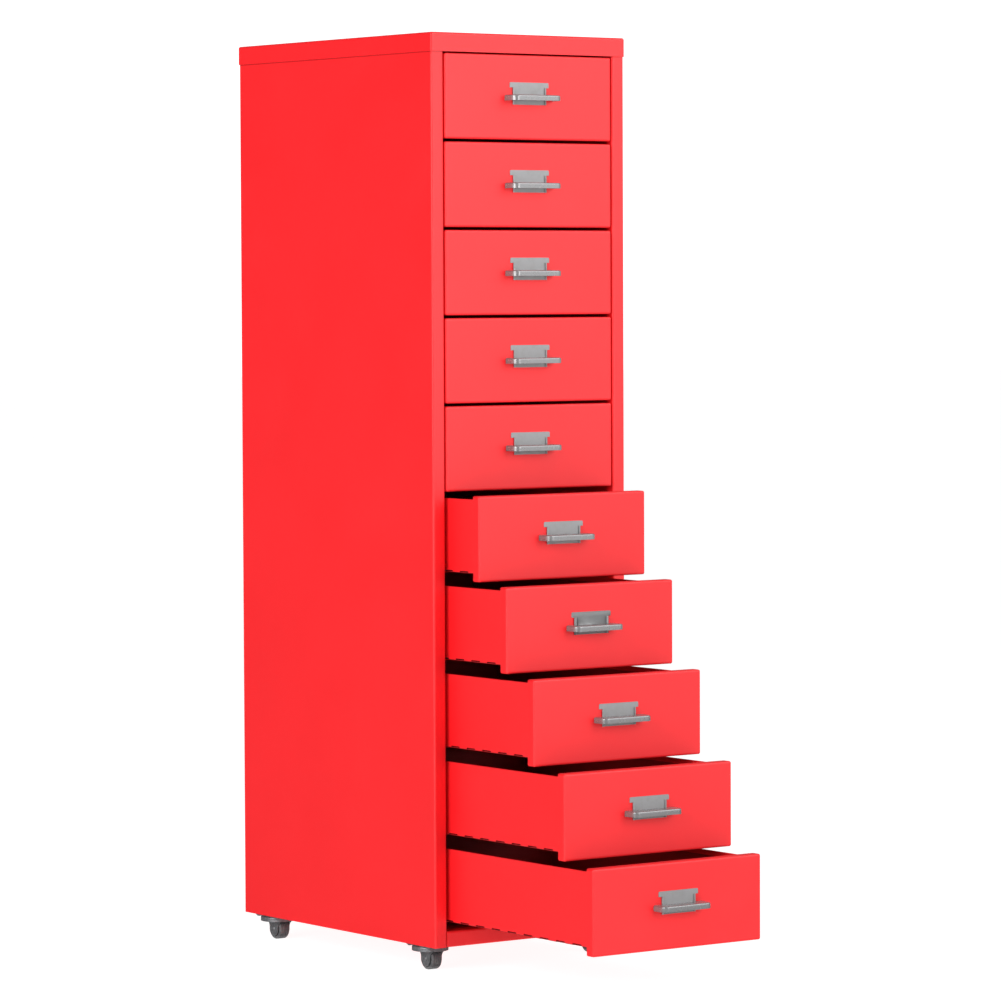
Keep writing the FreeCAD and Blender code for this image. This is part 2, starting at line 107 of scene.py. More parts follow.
class Shape:
    """Points, faces and a wear value for each point, gathered before they become one mesh."""

    def __init__(self):
        self.points, self.faces, self.wear_and_shadow = [], [], []
        self.count = 0

    def add_grid(self, grid, wear_and_shadow=None, closed=False, keep=None, caps=()):
        """Adds a grid [along, across, xyz]; caps names edge columns closed by one face."""
        along, across = grid.shape[:2]
        self.faces += grid_faces(along, across, closed, self.count, keep)
        rows = self.count + np.arange(along) * across
        for column in caps:
            loop = rows + column % across
            self.faces.append((loop if column else loop[::-1]).tolist())
        values = np.broadcast_to(0.0 if wear_and_shadow is None else wear_and_shadow, (along, across))
        return self.add_points(grid.reshape(-1, 3), values.ravel())

    def add_points(self, points, wear_and_shadow=None):
        """Adds loose points and returns the number of the first."""
        first = self.count
        self.points.append(points)
        self.wear_and_shadow.append(np.zeros(len(points)) if wear_and_shadow is None else wear_and_shadow)
        self.count += len(points)
        return first

    def add_plate(self, outline):
        """Adds one flat face with its corners in order."""
        first = self.add_points(outline)
        self.faces.append(list(range(first, first + len(outline))))

    def turned(self):
        """The same shape with every face looking the other way."""
        self.faces = [face[::-1] for face in self.faces]
        return self

    def build(self, name, material, thickness=0.0, edge=0.0, smooth=40.0):
        """Makes the object: thickness grows inwards from the skin, edge is the bevel width."""
        mesh = bpy.data.meshes.new(name)
        points = np.concatenate(self.points)
        mesh.from_pydata(points.tolist(), [], self.faces)
        wear_and_shadow = mesh.attributes.new("wear_and_shadow", "FLOAT", "POINT")
        wear_and_shadow.data.foreach_set("value", np.concatenate(self.wear_and_shadow).astype(np.float32))
        welded = bmesh.new()
        welded.from_mesh(mesh)
        bmesh.ops.remove_doubles(welded, verts=welded.verts, dist=0.001 * MM)
        welded.to_mesh(mesh)
        welded.free()
        mesh.shade_smooth()
        mesh.set_sharp_from_angle(angle=np.radians(smooth))
        mesh.materials.append(material)
        piece = bpy.data.objects.new(name, mesh)
        bpy.context.collection.objects.link(piece)
        if thickness:
            wall = piece.modifiers.new("gauge", "SOLIDIFY")
            wall.thickness = thickness
            wall.offset = -1.0
            wall.use_even_offset = True
        if edge:
            rim = piece.modifiers.new("broken_edge", "BEVEL")
            rim.width = edge
            rim.segments = 2
            rim.limit_method = "ANGLE"
            rim.angle_limit = np.radians(50.0)
            rim.harden_normals = True
        return piece


print("helpers ready")

# %% [markdown]
# ## Paths and profiles
# A fold is a quarter circle between two flats. Each flat keeps one extra point a millimetre away
# from its fold, so that the smoothing of the fold stops there and the flat stays truly flat.

# %% Path helpers
MARGIN, GUARD = 1.0 * MM, 2.5 * MM


def fold_path(corners, radius, steps=6, margin=MARGIN):
    """A flat path through corners (u, v), each inner corner rounded to radius.

    The arc of each corner runs from tangent point to tangent point: centre + radius * (cos, sin).
    Returns the points and a wear value that is 1 on the arcs and 0 on the flats.
    """
    corners = np.asarray(corners, float)
    radii = np.broadcast_to(radius, len(corners) - 2)
    points, wear_and_shadow = [corners[:1]], [np.zeros(1)]
    for before, corner, after, bend in zip(corners, corners[1:], corners[2:], radii):
        way_in = (corner - before) / np.linalg.norm(corner - before)
        way_out = (after - corner) / np.linalg.norm(after - corner)
        turn = np.arccos(np.clip(way_in @ way_out, -1.0, 1.0))
        reach = bend * np.tan(turn / 2)
        side = np.sign(way_in[0] * way_out[1] - way_in[1] * way_out[0])
        inward = side * np.array([-way_in[1], way_in[0]])
        centre = corner - way_in * reach + inward * bend
        angle = np.linspace(0.0, turn, steps + 1)[:, None]
        arc = centre + bend * (np.sin(angle) * way_in - np.cos(angle) * inward)
        points += [arc[:1] - way_in * margin, arc, arc[-1:] + way_out * margin]
        wear_and_shadow += [np.zeros(1), np.sin(np.linspace(0, np.pi, steps + 1)) ** 0.5, np.zeros(1)]
    points.append(corners[-1:])
    wear_and_shadow.append(np.zeros(1))
    return np.concatenate(points), np.concatenate(wear_and_shadow)


def carry(profile, along, lift):
    """Grid of a flat profile (u, v) repeated at each value of along; lift makes u, v, w xyz."""
    w = np.asarray(along, float)[:, None]
    u, v = profile[None, :, 0], profile[None, :, 1]
    u, v, w = np.broadcast_arrays(u, v, w)
    return np.stack(lift(u, v, w), axis=-1)


def rounded_ring(half_u, half_v, radius, inset, steps=6, stops=()):
    """Rings of a rectangle with round corners, one for each inset, as [along, inset, uv].

    A ring with inset d has half sides smaller by d and corners of radius max(radius - d, a little).
    Going round, each quarter is a straight side and then the corner after it. Every side has a
    point GUARD away from its corners, and stops are more places along the two sides of constant u.
    """
    angle = np.linspace(0.0, np.pi / 2, steps + 1)[:, None]
    inset = np.asarray(inset, float)[None, :]
    bend = np.maximum(radius - inset, 0.15 * MM)
    rings = []
    for quarter, (sign_u, sign_v) in enumerate(((1, 1), (-1, 1), (-1, -1), (1, -1))):
        upright = quarter % 2 == 0
        end = (half_v if upright else half_u) - radius - GUARD
        places = np.concatenate([[-end], np.sort(stops) if upright else [], [end]])
        places = places if quarter in (0, 3) else places[::-1]
        flat = (half_u - inset) * sign_u if upright else (half_v - inset) * (-1, 1)[quarter == 1]
        spread = np.broadcast_arrays(flat, places[:, None])
        rings.append(np.stack(spread if upright else spread[::-1], -1))
        heading = angle + quarter * np.pi / 2
        rings.append(np.stack([sign_u * (half_u - inset - bend) + bend * np.cos(heading),
                               sign_v * (half_v - inset - bend) + bend * np.sin(heading)], -1))
    return np.concatenate(rings)


def turned_profile(profile, centre, axis, steps=48):
    """Grid of a profile (radius, height) turned about an axis through centre.

    A point is centre + height * axis + radius * (cos t * side + sin t * other).
    """
    axis = np.asarray(axis, float)
    side = np.array([0.0, 1.0, 0.0]) if abs(axis[0]) > 0.5 else np.array([1.0, 0.0, 0.0])
    other = np.cross(axis, side)
    t = np.linspace(0, 2 * np.pi, steps, endpoint=False)[:, None, None]
    radius, height = profile[None, :, :1], profile[None, :, 1:]
    return np.asarray(centre) + height * axis + radius * (np.cos(t) * side + np.sin(t) * other)


print("paths ready")

# %% [markdown]
# ## Shader maths as plain maths
# A finish is a small sum of masks and noises. Wrapping a node's output in a class with operators
# lets the sum be written as it would be on paper: `1 - mask * 0.3` adds its two Math nodes by
# itself. Every other kind of node comes from one method, which takes the node's type, its settings
# and what its sockets hold.

# %% A socket with operators
class Flow:
    """An output of a material's nodes; + - * between flows and numbers add Math nodes."""

    def __init__(self, tree, socket=None):
        self.tree, self.socket = tree, socket

    def node(self, kind, settings=None, inputs=None, output=0):
        """Adds a node of any type and returns one of its outputs."""
        made = self.tree.nodes.new(kind)
        for name, value in (settings or {}).items():
            setattr(made, name, value)
        for name, value in (inputs or {}).items():
            target = made.inputs[name]
            if isinstance(value, Flow):
                self.tree.links.new(value.socket, target)
            else:
                target.default_value = value
        return Flow(self.tree, made.outputs[output])

    def math(self, operation, first, second=0.0):
        """One Math node."""
        return self.node("ShaderNodeMath", {"operation": operation}, {0: first, 1: second})

    def __add__(self, other):
        return self.math("ADD", self, other)

    def __radd__(self, other):
        return self.math("ADD", other, self)

    def __sub__(self, other):
        return self.math("SUBTRACT", self, other)

    def __rsub__(self, other):
        return self.math("SUBTRACT", other, self)

    def __mul__(self, other):
        return self.math("MULTIPLY", self, other)

    def __rmul__(self, other):
        return self.math("MULTIPLY", other, self)

    def clipped(self):
        """The value held between 0 and 1."""
        return self.node("ShaderNodeClamp", None, {"Value": self})

    def step(self, low, high):
        """0 below low, 1 above high and smooth between."""
        return self.node("ShaderNodeMapRange", {"interpolation_type": "SMOOTHSTEP"},
                         {"Value": self, "From Min": low, "From Max": high})

    def noise(self, where, scale, detail=3.0, roughness=0.5):
        """Cloudy noise with features about 1 / scale metres wide."""
        return self.node("ShaderNodeTexNoise", None, {"Vector": where, "Scale": scale,
                                                      "Detail": detail, "Roughness": roughness})

    def mixed(self, first, second):
        """first where this value is 0 and second where it is 1, as colours."""
        return self.node("ShaderNodeMix", {"data_type": "RGBA"},
                         {"Factor": self, 6: first, 7: second}, output=2)


def finish(name, shade):
    """A material whose look shade(flow) works out as inputs of one Principled BSDF.

    shade returns the constants and links of the shader's sockets by name.
    """
    material = bpy.data.materials.new(name)
    material.use_nodes = True
    tree = material.node_tree
    tree.nodes.clear()
    flow = Flow(tree)
    shader = flow.node("ShaderNodeBsdfPrincipled", None, shade(flow))
    tree.links.new(shader.socket, tree.nodes.new("ShaderNodeOutputMaterial").inputs["Surface"])
    print("finish", name, "with", len(tree.nodes), "nodes")
    return material


def stretched(flow, where, scale):
    """Object coordinates scaled by axis, so that a noise is drawn out along the smaller ones."""
    return flow.node("ShaderNodeMapping", None, {"Vector": where, "Scale": scale})


# %% [markdown]
# ## Red sprayed enamel
# The steel is sprayed and baked. At arm's length it is an even, slightly satin red; close up it
# has the fine ripple called orange peel, a few dull patches from handling, and a thinner, paler
# coat where it ran off the folds. A value on each point of a piece marks those folds, and a value
# below zero marks a painted shadow: a dark red line just under the cover's edge, for the shade of
# its lip. Thin sheet is never quite flat either, so a very slow second ripple bends the reflections
# a little. The trays have a copy of the enamel with painted shade: it turns darker between their
# walls, for the shade deep inside a tray, and duller there too. A second material inside each tray
# would need its faces sorted; a mask on x does it in one node.

# %% Red enamel
RED = (0.88, 0.0108, 0.0158, 1.0)
RED_THIN = (0.94, 0.0340, 0.0360, 1.0)
RED_DEEP = (0.80, 0.0060, 0.0098, 1.0)
# Dark red painted as the shadow line under the cover's edge.
RED_PAINTED_SHADOW = (0.40, 0.0030, 0.0050, 1.0)
# Near-black red painted into the trays' insides as shade.
RED_PAINTED_SHADE_INSIDE = (0.16, 0.0030, 0.0045, 1.0)


def red_enamel(flow):
    """Clouded red, paler on folds, with orange peel over slow sheet ripple.

    A point value above 0 marks a fold; below 0 it marks the painted shadow under the cover's edge.
    """
    where = flow.node("ShaderNodeTexCoord", output="Object")
    wear_and_shadow = flow.node("ShaderNodeAttribute", {"attribute_name": "wear_and_shadow"}, output="Fac")
    cloud = flow.noise(where, 7.0, 4.0, 0.55)
    speck = flow.noise(where, 420.0, 2.0, 0.6)
    thin = (wear_and_shadow * (0.25 + 0.6 * flow.noise(where, 90.0, 3.0))).clipped()
    base = (cloud.step(0.35, 0.75) * 0.35).mixed(RED, RED_DEEP)
    colour = (thin * 0.6).mixed(base, RED_THIN)
    # Painted shadow: where the point value is below 0, under the cover's edge, the red mixes
    # towards the dark shadow red.
    colour = ((wear_and_shadow * -0.8).clipped()).mixed(colour, RED_PAINTED_SHADOW)
    handled = flow.noise(where, 16.0, 5.0, 0.6).step(0.5, 0.8)
    peel = flow.node("ShaderNodeBump", None,
                     {"Height": speck, "Strength": 0.22, "Distance": 0.00006})
    ripple = flow.node("ShaderNodeBump", None,
                       {"Height": flow.noise(where, 5.0, 1.0, 0.3), "Strength": 0.5,
                        "Distance": 0.0007, "Normal": peel})
    return {
        "Base Color": colour,
        "Roughness": 0.40 + 0.07 * handled + 0.05 * speck - 0.06 * thin,
        "Normal": ripple,
        "IOR": 1.42,
    }


def tray_enamel_painted_shade(flow):
    """The same enamel with painted shade: darker between a tray's walls, for the shade deep inside
    the tray, and duller there too.
    """
    look = red_enamel(flow)
    where = flow.node("ShaderNodeTexCoord", output="Object")
    off_middle = flow.math("ABSOLUTE", flow.node("ShaderNodeSeparateXYZ", None, {"Vector": where}))
    # Painted shade: between the tray's walls the red mixes most of the way to a near-black red, for
    # the shade inside the tray; the roughness also rises there.
    painted_shade_within = 1.0 - off_middle.step(TRAY_HALF - 0.6 * MM, TRAY_HALF - 0.2 * MM)
    look["Base Color"] = (painted_shade_within * 0.7).mixed(look["Base Color"], RED_PAINTED_SHADE_INSIDE)
    look["Roughness"] = look["Roughness"] + painted_shade_within * 0.15
    return look


red = finish("red_enamel", red_enamel)
painted_shade_tray = finish("tray_red_painted_shade", tray_enamel_painted_shade)

# %% [markdown]
# ## Nickel plate for pulls and label holders
# Stamped parts are tumbled and then nickel plated: bright on the pull, where fingers keep it
# clean, and a little greyer on the flat label holder. Fine scratches run mostly sideways.

# %% Nickel finishes
def nickel(tone, metallic, roughness, scratch):
    """Shade of a plated steel part; tone is its brightness and scratch the depth of its lines.

    A film of grease and fine scratches scatters part of the light, so it isn't all metallic.
    """
    def shade(flow):
        where = flow.node("ShaderNodeTexCoord", output="Object")
        lines = flow.noise(stretched(flow, where, (90.0, 90.0, 2600.0)), 1.0, 3.0, 0.6)
        smudge = flow.noise(where, 110.0, 4.0, 0.6).step(0.4, 0.75)
        worn = flow.node("ShaderNodeAttribute", {"attribute_name": "wear_and_shadow"}, output="Fac")
        dull = tuple(value * tone * 0.93 for value in (1.0, 0.99, 0.985)) + (1.0,)
        bright = tuple(value * tone for value in (1.0, 1.0, 1.02)) + (1.0,)
        bump = flow.node("ShaderNodeBump", None,
                         {"Height": lines, "Strength": scratch, "Distance": 0.00002})
        return {
            "Base Color": (smudge * (1.0 - worn)).mixed(bright, dull),
            "Metallic": metallic + 0.15 * worn,
            "Roughness": roughness + 0.04 * smudge + 0.04 * lines - 0.05 * worn,
            "Normal": bump,
            "Specular IOR Level": 0.3,
        }
    return shade


nickel_pull = finish("polished_nickel", nickel(0.27, 0.45, 0.24, 0.03))
nickel_plate = finish("satin_nickel", nickel(0.29, 0.28, 0.46, 0.12))

# %% [markdown]
# ## Zinc on the casters, rivets and screws
# Cheap stamped casters are barrel plated in zinc, which comes out a cloudy blue grey with darker
# stains here and there. The wheels are moulded in dark grey plastic with a dusty tread.

# %% Zinc and wheel plastic
def dull_zinc(flow):
    """Clouded zinc: two greys in blotches, with a rougher, darker stain here and there."""
    where = flow.node("ShaderNodeTexCoord", output="Object")
    blotch = flow.noise(where, 260.0, 4.0, 0.6)
    stain = flow.noise(where, 70.0, 5.0, 0.65).step(0.5, 0.75)
    grey = blotch.step(0.3, 0.7).mixed((0.19, 0.195, 0.205, 1), (0.30, 0.305, 0.32, 1))
    bump = flow.node("ShaderNodeBump", None,
                     {"Height": blotch, "Strength": 0.25, "Distance": 0.00008})
    return {
        "Base Color": (stain * 0.6).mixed(grey, (0.10, 0.098, 0.095, 1)),
        "Metallic": 0.60 - 0.25 * stain,
        "Roughness": 0.36 + 0.22 * stain + 0.08 * blotch,
        "Normal": bump,
    }


def wheel_plastic(flow):
    """Dark grey plastic with dust in its pores."""
    where = flow.node("ShaderNodeTexCoord", output="Object")
    grain = flow.noise(where, 900.0, 3.0, 0.6)
    dust = flow.noise(where, 150.0, 5.0, 0.65).step(0.42, 0.8)
    bump = flow.node("ShaderNodeBump", None,
                     {"Height": grain, "Strength": 0.35, "Distance": 0.00005})
    return {
        "Base Color": (dust * 0.5).mixed((0.085, 0.085, 0.090, 1), (0.22, 0.215, 0.21, 1)),
        "Roughness": 0.48 + 0.25 * dust + 0.08 * grain,
        "Normal": bump,
        "IOR": 1.5,
    }


zinc = finish("dull_zinc", dull_zinc)
wheel_grey = finish("wheel_plastic", wheel_plastic)

# %% [markdown]
# ## The top cover
# The lid is one sheet with a skirt folded down on all four sides and its corners welded and
# ground round. It could be a box with its lower face taken off, but a cube's bevel would round
# the cut edge too. Here a ring of round corners is carried over the fold instead, so the top is
# one flat face, the fold is a true quarter circle, and the sheet ends in a clean cut edge.

# %% Pans: a flat face with its edges folded back
def pan(low, high, fold, axis, upper, corner):
    """The outer skin of a sheet pan whose flat face looks along one axis.

    The ring with inset d lies at depth fold - sqrt(fold^2 - (fold - d)^2) behind the face, which
    is a quarter circle in section, then runs straight back to the pan's open side. axis is the
    axis the flat face is square to, upper says on which side of the box it lies, and corner is
    the radius of the pan's corners as seen on the face.
    """
    low, high = np.asarray(low, float), np.asarray(high, float)
    u_axis, v_axis = [(1, 2), (2, 0), (0, 1)][axis]
    centre, half = (low + high) / 2, (high - low) / 2
    deep = high[axis] - low[axis]
    turn = np.linspace(0.0, np.pi / 2, 6)
    inset = np.concatenate([[0.0, 0.0], fold * (1 - np.cos(turn)), [fold + MARGIN]])
    depth = np.concatenate([[deep, fold + MARGIN], fold * (1 - np.sin(turn)), [0.0]])
    wear_and_shadow = np.concatenate([[0.0, 0.0], np.sin(2 * turn).clip(0) ** 0.5, [0.0]])
    ring = rounded_ring(half[u_axis], half[v_axis], corner, inset)
    grid = np.zeros(ring.shape[:2] + (3,))
    grid[..., u_axis] = centre[u_axis] + ring[..., 0]
    grid[..., v_axis] = centre[v_axis] + ring[..., 1]
    grid[..., axis] = high[axis] - depth if upper else low[axis] + depth
    shape = Shape()
    shape.add_grid(grid, wear_and_shadow, closed=True, caps=(-1,))
    return shape if upper else shape.turned()


cover = pan(cover_low, cover_high, FOLD, 2, True, FOLD)
cover = cover.build("top_cover_sheet", red, SHEET, CUT_EDGE)
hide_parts("top_cover")
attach(cover, "cabinet")
print("cover", len(cover.data.vertices), "points")

# %% [markdown]
# ## The side panels
# Each side is one long sheet. In plan it starts at a narrow flange on the back, turns round to
# the side, and turns again round the front, where it becomes the stile beside the drawers, with a
# last fold inwards that stiffens it. A solid box would lose the stile's thin edge, so the plan is
# drawn as a path with round folds and carried straight up. The cover laps over its top by a
# millimetre, and three rows of points there carry a painted shadow: a dark red line just under
# the cover's edge, for the shade its lip casts on the side.

# %% Side panels
BACK_FLANGE, STILE, STILE_RETURN = 13.0 * MM, 122.0 * MM, 12.0 * MM
SEAM_FADE, SEAM_START, SEAM_END = 1.8 * MM, 0.6 * MM, 6.0 * MM


def side_panel(side):
    """The folded plan of a side carried straight up; side is -1 for left and 1 for right.

    The point value is -1 from just below the cover's edge to a few millimetres behind it: there the
    enamel paints a dark shadow line.
    """
    front, back, outer = side_low[1], side_high[1], -side_low[0]
    corners = [(outer - BACK_FLANGE, back), (outer, back), (outer, front), (STILE, front),
               (STILE, front + STILE_RETURN)]
    plan, wear_and_shadow = fold_path(corners, FOLD)
    seam = cover_low[2] - np.array([SEAM_FADE, SEAM_START, -SEAM_END])
    heights = np.concatenate([np.linspace(side_low[2], seam[0], 4), seam[1:], side_high[2:]])
    # Rows just under the cover's edge get -1, which the enamel paints as a dark shadow line.
    wear_and_shadow = np.where(np.isin(heights, seam[1:])[:, None], -1.0, wear_and_shadow)
    grid = carry(plan, heights, lambda u, v, w: (side * u, v, w))
    shape = Shape()
    shape.add_grid(grid, wear_and_shadow)
    return shape if side > 0 else shape.turned()


for side, word in ((-1, "left"), (1, "right")):
    panel = side_panel(side).build(f"side_{word}_sheet", red, SHEET, CUT_EDGE)
    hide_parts(f"side_{word}")
    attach(panel, "cabinet")
print("side", np.round(side_high - side_low, 4), "m")

# %% [markdown]
# ## The back, the floor and the front rail
# The back is a plain sheet set into the sides. The floor is a shallow pan turned upside down, and
# its front edge meets the rail, a channel that closes the body below the lowest drawer.

# %% Back, floor and rail
back_low, back_high = node_box("back_panel")
back = Shape()
back_x = np.array([back_low[0], back_high[0]])
back_z = np.linspace(back_low[2], back_high[2], 5)
grid = np.zeros((5, 2, 3))
grid[..., 0], grid[..., 1], grid[..., 2] = back_x[::-1], back_high[1], back_z[:, None]
back.add_grid(grid)
back = back.turned().build("back_sheet", red, back_high[1] - back_low[1], CUT_EDGE)

floor_low, floor_high = node_box("bottom_panel")
floor_pan = pan(floor_low, floor_high, FOLD, 2, True, FOLD).build("floor_pan", red, SHEET)

rail_low, rail_high = node_box("front_rail")
corners = [(rail_high[1], rail_high[2]), (rail_low[1], rail_high[2]), (rail_low[1], rail_low[2]),
           (rail_high[1], rail_low[2])]
section, wear_and_shadow = fold_path(corners, FOLD)
rail = Shape()
rail_x = np.linspace(rail_low[0], rail_high[0], 3)
rail.add_grid(carry(section, rail_x, lambda u, v, w: (w, u, v)), wear_and_shadow)
rail = rail.turned().build("rail_channel", red, SHEET, CUT_EDGE)

for piece, node in ((back, "back_panel"), (floor_pan, "bottom_panel"), (rail, "front_rail")):
    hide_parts(node)
    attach(piece, "cabinet")
print("rail", np.round(rail_high - rail_low, 4), "m")

# %% [markdown]
# ## Drawer fronts
# A front is a shallow pan with its flat face forward and soft folds all round. The four tabs of
# the pull and the label holder pass through it, hidden by those two parts.

# %% Drawer fronts
def drawer_front(node):
    """A pan open to the back, 2.2 mm folds all round, drawn from the CAD piece's box."""
    low, high = node_box(node)
    return pan(low, high, FRONT_FOLD, 1, False, FRONT_FOLD)


for drawer in DRAWERS:
    piece = drawer_front(f"{drawer}_front").build(f"{drawer}_front_pan", red, SHEET, CUT_EDGE)
    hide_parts(f"{drawer}_front")
    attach(piece, drawer)
print("fronts", len(DRAWERS))

# %% [markdown]
# ## Drawer trays
# A tray is a long open box. The blank is punched with a row of slots along each bend line, so
# that the press folds it by hand force, and those slots stay visible along the lower edge of the
# finished tray. Its rims are folded back on themselves. Modelling each slot with a cutter would
# take twenty-four booleans per tray; on a grid whose columns start and end at the slots, a slot is
# only a cell that isn't made.

# %% Tray folds and slots
SLOT_LENGTH, SLOT_SIZE, SLOT_PITCH = 17.0 * MM, 2.4 * MM, 31.0 * MM
HEM_DROP, EAR_SPAN, EAR_FOOT, EAR_TOP = 6.0 * MM, 136.7 * MM, 2.6 * MM, 12.6 * MM


def slot_stops(length):
    """Start and end of every slot along a tray, measured from the middle of its length."""
    count = int((length - SLOT_LENGTH) // SLOT_PITCH) + 1
    starts = (np.arange(count) - (count - 1) / 2) * SLOT_PITCH
    return np.sort(np.concatenate([starts - SLOT_LENGTH / 2, starts + SLOT_LENGTH / 2]))


def tray_skin(low, high):
    """The tray's outer skin: a ring of round corners carried down the wall and under the floor.

    In section the skin drops from the rim, turns through a quarter circle of the fold's radius and
    ends on the floor. The cells from one slot edge on the wall to the other on the floor are left
    out between the start and the end of each slot, and so is the strip that the hems replace.
    """
    half_x, middle = high[0], (low[1] + high[1]) / 2
    half_y = high[1] - middle
    turn = np.linspace(0.0, np.pi / 2, 7)
    inset = np.concatenate([[0.0] * 3, TRAY_FOLD * (1 - np.cos(turn)),
                            [SLOT_SIZE, SLOT_SIZE + MARGIN]])
    height = np.concatenate([[high[2], high[2] - SHEET, low[2] + SLOT_SIZE],
                             low[2] + TRAY_FOLD * (1 - np.sin(turn)), [low[2]] * 2])
    wear_and_shadow = np.concatenate([[0.6, 0.2, 0.0], 0.7 * np.sin(2 * turn).clip(0) ** 0.5, [0.0] * 2])
    stops = slot_stops(2 * half_y)
    ring = rounded_ring(half_x, half_y, TRAY_FOLD, inset, stops=stops)
    level = np.broadcast_to(height[None, :, None], ring.shape[:2] + (1,))
    grid = np.concatenate([ring, level], -1)
    grid[..., 1] += middle
    ahead = np.roll(ring[:, 0], -1, axis=0)
    on_side = (np.abs(ring[:, 0, 0]) > half_x - 1e-9) & (np.abs(ahead[:, 0]) > half_x - 1e-9)
    between = (ring[:, 0, 1] + ahead[:, 1]) / 2
    in_slot = on_side & (np.searchsorted(stops, between) % 2 == 1)
    keep = np.ones((len(ring), len(inset) - 1), bool)
    keep[np.ix_(in_slot, np.arange(2, len(inset) - 2))] = False
    keep[on_side, 0] = False
    shape = Shape()
    shape.add_grid(grid, wear_and_shadow, closed=True, keep=keep, caps=(-1,))
    for side in (-1, 1):
        inner, outer = side * (half_x - TRAY_FOLD), side * EAR_SPAN
        ear = np.array([(inner, EAR_FOOT), (outer, EAR_FOOT), (outer, EAR_TOP), (inner, EAR_TOP)])
        ear = np.stack([ear[:, 0], np.full(4, high[1]), low[2] + ear[:, 1]], -1)
        shape.add_plate(ear if side > 0 else ear[::-1])
    return shape


def hem(low, high, side):
    """The side's rim folded back on itself: a half circle over the top and two flats below it."""
    turn = np.linspace(np.pi, 0.0, 9)
    arch = np.stack([SHEET * (1 + np.cos(turn)), high[2] - SHEET * (1 - np.sin(turn))], -1)
    ends = [(2 * SHEET, high[2] - SHEET - MARGIN), (2 * SHEET, high[2] - HEM_DROP),
            (SHEET, high[2] - HEM_DROP), (SHEET, high[2] - SHEET), (0.0, high[2] - SHEET)]
    profile = np.concatenate([arch, ends])
    wear_and_shadow = np.concatenate([np.sin(turn), [0.0, 0.5, 0.5, 0.0, 0.0]])
    places = np.linspace(low[1] + TRAY_FOLD, high[1] - TRAY_FOLD, 3)
    grid = carry(profile, places, lambda u, v, w: (side * (high[0] - u), w, v))
    shape = Shape()
    shape.add_grid(grid, wear_and_shadow)
    for row in (0, 2):
        loop = (row * len(profile) + np.arange(len(profile) - 1)).tolist()
        shape.faces.append(loop[::-1] if row else loop)
    return shape if side > 0 else shape.turned()


for drawer in DRAWERS:
    low, high = node_box(f"{drawer}_tray")
    low[0], high[0] = -TRAY_HALF, TRAY_HALF
    piece = tray_skin(low, high).turned()
    piece = piece.build(f"{drawer}_tray_sheet", painted_shade_tray, SHEET, CUT_EDGE)
    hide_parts(f"{drawer}_tray")
    hems = [hem(low, high, side).build(f"{drawer}_hem_{word}", red)
            for side, word in ((-1, "left"), (1, "right"))]
    for part in [piece] + hems:
        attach(part, drawer)
print("trays", len(DRAWERS), "with", len(slot_stops(0.386)) // 2, "slots a side")

# %% [markdown]
# ## Pulls
# The pull is a stamped tongue. Its plan is a wide D, and its front and sides are rolled down to a
# rim that fingers hook behind. Because the rim follows the outline at an even distance, the whole
# skin is that outline carried over the roll, and the top is one flat face with a notch at the back
# where the label holder stands.

# %% Pulls
PULL_SHEET, PULL_CORNER, PULL_ROLL = 1.2 * MM, 8.0 * MM, 1.7 * MM
NOTCH_HALF, NOTCH_DEPTH = 25.0 * MM, 3.2 * MM
PULL_HALF, PULL_REACH, PULL_HEIGHT, PULL_TOP = 35.0 * MM, 20.0 * MM, 6.6 * MM, 46.8 * MM


def pull_skin(face_y, top):
    """Outline with inset d is a D of half width 35 - d, reach 20 - d and corner radius 8 - d.

    Its height is constant on the rim and falls away from the top by a quarter circle on the roll.
    """
    turn = np.linspace(0.0, np.pi / 2, 7)
    inset = np.concatenate([[0.0, 0.0], PULL_ROLL * (1 - np.cos(turn)), [PULL_ROLL + MARGIN]])
    inset = inset[None, :]
    drop = np.concatenate([[PULL_HEIGHT, PULL_ROLL + MARGIN],
                           PULL_ROLL * (1 - np.sin(turn)), [0.0]])
    wear_and_shadow = np.concatenate([[0.3, 0.0], np.sin(2 * turn).clip(0) ** 0.5, [0.0]])
    half, reach, corner = PULL_HALF - inset, PULL_REACH - inset, PULL_CORNER - inset
    heading = np.linspace(0.0, np.pi / 2, 11)[:, None]
    flat = np.zeros_like(inset)
    right = np.concatenate([
        np.stack([half, flat], -1), np.stack([half, corner - reach + MARGIN], -1),
        np.stack([half - corner * (1 - np.cos(heading)),
                  corner * (1 - np.sin(heading)) - reach], -1),
        np.stack([half - corner - MARGIN, -reach], -1)])
    left = right[::-1] * (-1.0, 1.0)
    ring = np.concatenate([right, left])
    level = np.broadcast_to(-drop[None, :, None], ring.shape[:2] + (1,))
    grid = np.concatenate([ring, level], -1)
    shape = Shape()
    shape.add_grid(grid, wear_and_shadow)
    notch = np.array([(-NOTCH_HALF, 0.0), (-NOTCH_HALF, -NOTCH_DEPTH),
                      (NOTCH_HALF, -NOTCH_DEPTH), (NOTCH_HALF, 0.0)])
    first = shape.add_points(np.concatenate([notch, np.zeros((4, 1))], -1))
    rim = np.arange(len(ring)) * grid.shape[1] + grid.shape[1] - 1
    shape.faces.append(rim.tolist() + list(range(first, first + 4)))
    shape.points = [points + (0.0, face_y, top) for points in shape.points]
    return shape


for drawer in DRAWERS:
    low, high = node_box(f"{drawer}_front")
    pull = pull_skin(low[1], high[2] - PULL_TOP).turned()
    pull = pull.build(f"{drawer}_pull_tongue", nickel_pull, PULL_SHEET, PLATED_EDGE)
    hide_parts(f"{drawer}_pull")
    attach(pull, drawer)
print("pull reaches", PULL_REACH * 1000, "mm")

# %% [markdown]
# ## Label holders
# Behind each pull stands a flat plate whose two sides are folded forward and in, to hold a card.
# The plate is one face with two ears at the top, and each channel is a short folded section.

